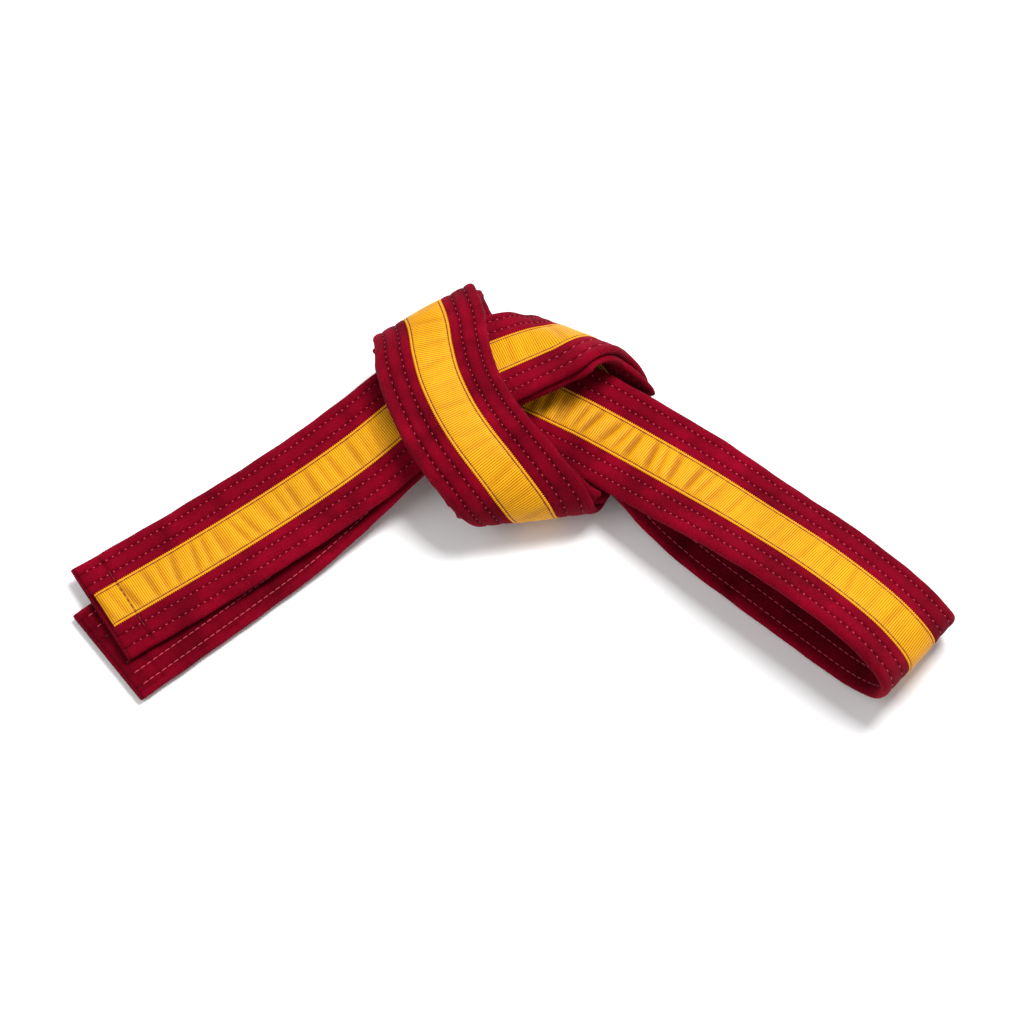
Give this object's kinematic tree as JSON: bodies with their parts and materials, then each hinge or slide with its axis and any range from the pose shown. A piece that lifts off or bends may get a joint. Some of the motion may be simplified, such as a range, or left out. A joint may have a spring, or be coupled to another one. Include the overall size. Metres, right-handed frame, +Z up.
{
  "type": "martial arts belt",
  "caption": "Quilted cotton martial arts belt with a grosgrain centre ribbon, doubled and tied in a flat overhand knot with two free ends and a loop.",
  "frame": {"origin": "on the table, under the middle of the belt's outline", "axes": "+Z up from the table, +X from the free ends towards the closed loop, +Y from the front turn of the knot to its back turn"},
  "size_m": [0.3337, 0.1749, 0.0379],
  "materials": {
    "red_cotton": "matte quilted cotton twill, crimson, slightly brushed",
    "white_batting": "soft undyed cotton batting",
    "gold_ribbon": "golden yellow grosgrain ribbon with a soft sheen",
    "red_thread": "light red polyester sewing thread",
    "dark_thread": "dark red-brown polyester sewing thread"
  },
  "bodies": {
    "knot": {"knot_outer_layer_cover": "red_cotton", "knot_outer_layer_batting": "white_batting", "knot_outer_layer_ribbon": "gold_ribbon", "knot_outer_layer_quilting_row_1": "red_thread", "knot_outer_layer_quilting_row_2": "red_thread", "knot_outer_layer_quilting_row_3": "red_thread", "knot_outer_layer_quilting_row_4": "red_thread", "knot_outer_layer_ribbon_stitching_1": "dark_thread", "knot_outer_layer_ribbon_stitching_2": "dark_thread", "knot_inner_layer_cover": "red_cotton", "knot_inner_layer_batting": "white_batting", "knot_inner_layer_ribbon": "gold_ribbon", "knot_inner_layer_quilting_row_1": "red_thread", "knot_inner_layer_quilting_row_2": "red_thread", "knot_inner_layer_quilting_row_3": "red_thread", "knot_inner_layer_quilting_row_4": "red_thread", "knot_inner_layer_ribbon_stitching_1": "dark_thread", "knot_inner_layer_ribbon_stitching_2": "dark_thread"},
    "upper_tail": {"upper_tail_cover": "red_cotton", "upper_tail_batting": "white_batting", "upper_tail_ribbon": "gold_ribbon", "upper_tail_quilting_row_1": "red_thread", "upper_tail_quilting_row_2": "red_thread", "upper_tail_quilting_row_3": "red_thread", "upper_tail_quilting_row_4": "red_thread", "upper_tail_ribbon_stitching_1": "dark_thread", "upper_tail_ribbon_stitching_2": "dark_thread", "upper_tail_tip_hem": "red_cotton", "upper_tail_cross_stitching": "dark_thread"},
    "lower_tail": {"lower_tail_cover": "red_cotton", "lower_tail_batting": "white_batting", "lower_tail_ribbon": "gold_ribbon", "lower_tail_quilting_row_1": "red_thread", "lower_tail_quilting_row_2": "red_thread", "lower_tail_quilting_row_3": "red_thread", "lower_tail_quilting_row_4": "red_thread", "lower_tail_ribbon_stitching_1": "dark_thread", "lower_tail_ribbon_stitching_2": "dark_thread", "lower_tail_tip_hem": "red_cotton", "lower_tail_cross_stitching": "dark_thread"},
    "loop": {"loop_cover": "red_cotton", "loop_batting": "white_batting", "loop_ribbon": "gold_ribbon", "loop_quilting_row_1": "red_thread", "loop_quilting_row_2": "red_thread", "loop_quilting_row_3": "red_thread", "loop_quilting_row_4": "red_thread", "loop_ribbon_stitching_1": "dark_thread", "loop_ribbon_stitching_2": "dark_thread"}
  },
  "joints": [
    {"name": "lower_tail_lift", "type": "hinge", "parent": "knot", "child": "lower_tail", "pos_m": [-0.051, 0.0205, 0.0151], "axis": [-0.5878, 0.809, 0], "range_deg": [0, 25]},
    {"name": "upper_tail_lift", "type": "hinge", "parent": "knot", "child": "upper_tail", "pos_m": [-0.0502, 0.0222, 0.0213], "axis": [-0.5878, 0.809, 0], "range_deg": [0, 25]},
    {"name": "loop_lift", "type": "hinge", "parent": "knot", "child": "loop", "pos_m": [0.0574, 0.0082, 0.024], "axis": [-0.6157, -0.788, 0], "range_deg": [0, 20]}
  ],
  "couplings": [
    {"joint": "upper_tail_lift", "follows": "lower_tail_lift", "ratio": 1}
  ]
}
